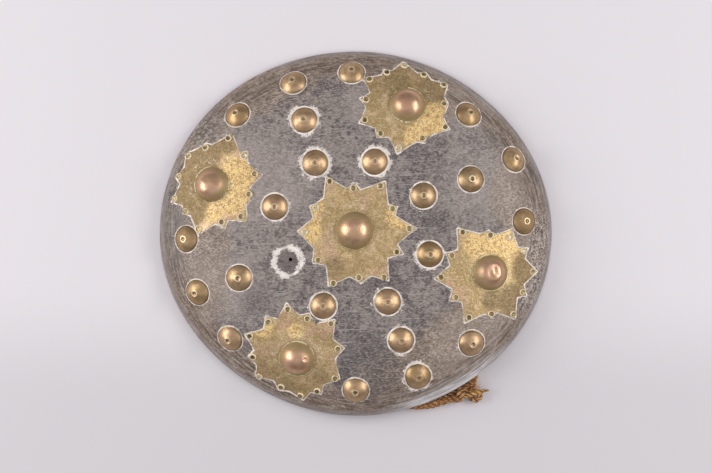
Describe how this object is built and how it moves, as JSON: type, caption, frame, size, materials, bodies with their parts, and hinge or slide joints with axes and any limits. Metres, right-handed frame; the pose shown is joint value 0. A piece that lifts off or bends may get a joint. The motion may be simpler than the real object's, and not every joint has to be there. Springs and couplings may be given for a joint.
{
  "type": "round hide shield",
  "caption": "Small round buckler of domed dark hide with pointed brass star plates, round bosses and domed studs, and a fibre grip cord knotted outside the rim.",
  "frame": {"origin": "middle of the ground plane under the shield's box, as it lies on its rim, front up; the cord is left out of the box", "axes": "+Z out of the front; +X to the right and +Y to the top, as seen from the front"},
  "size_m": [0.3444, 0.319, 0.0519],
  "materials": {
    "hide": "hard dark grey hide, worn satin, brown near the rim, white dried polish round the fittings",
    "plate_brass": "thin aged brass sheet, speckled, bright in patches",
    "boss_bronze": "copper-brown aged brass, polished on the crown",
    "stud_brass": "aged brass, semi-gloss",
    "fibre": "twisted orange-brown plant fibre, frayed at its ends"
  },
  "bodies": {
    "root": {"hide_disc": "hide", "star_plate_centre": "plate_brass", "star_plate_top": "plate_brass", "star_plate_left": "plate_brass", "star_plate_right": "plate_brass", "star_plate_bottom": "plate_brass", "boss_centre": "boss_bronze", "boss_top": "boss_bronze", "boss_left": "boss_bronze", "boss_right": "boss_bronze", "boss_bottom": "boss_bronze", "stud_01": "stud_brass", "stud_02": "stud_brass", "stud_03": "stud_brass", "stud_04": "stud_brass", "stud_05": "stud_brass", "stud_06": "stud_brass", "stud_07": "stud_brass", "stud_08": "stud_brass", "stud_09": "stud_brass", "stud_10": "stud_brass", "stud_11": "stud_brass", "stud_12": "stud_brass", "stud_13": "stud_brass", "stud_14": "stud_brass", "stud_15": "stud_brass", "stud_16": "stud_brass", "stud_17": "stud_brass", "stud_18": "stud_brass", "stud_19": "stud_brass", "stud_20": "stud_brass", "stud_21": "stud_brass", "stud_22": "stud_brass", "stud_23": "stud_brass", "cord_right": "fibre", "cord_bottom": "fibre", "cord_knot": "fibre"}
  },
  "joints": []
}
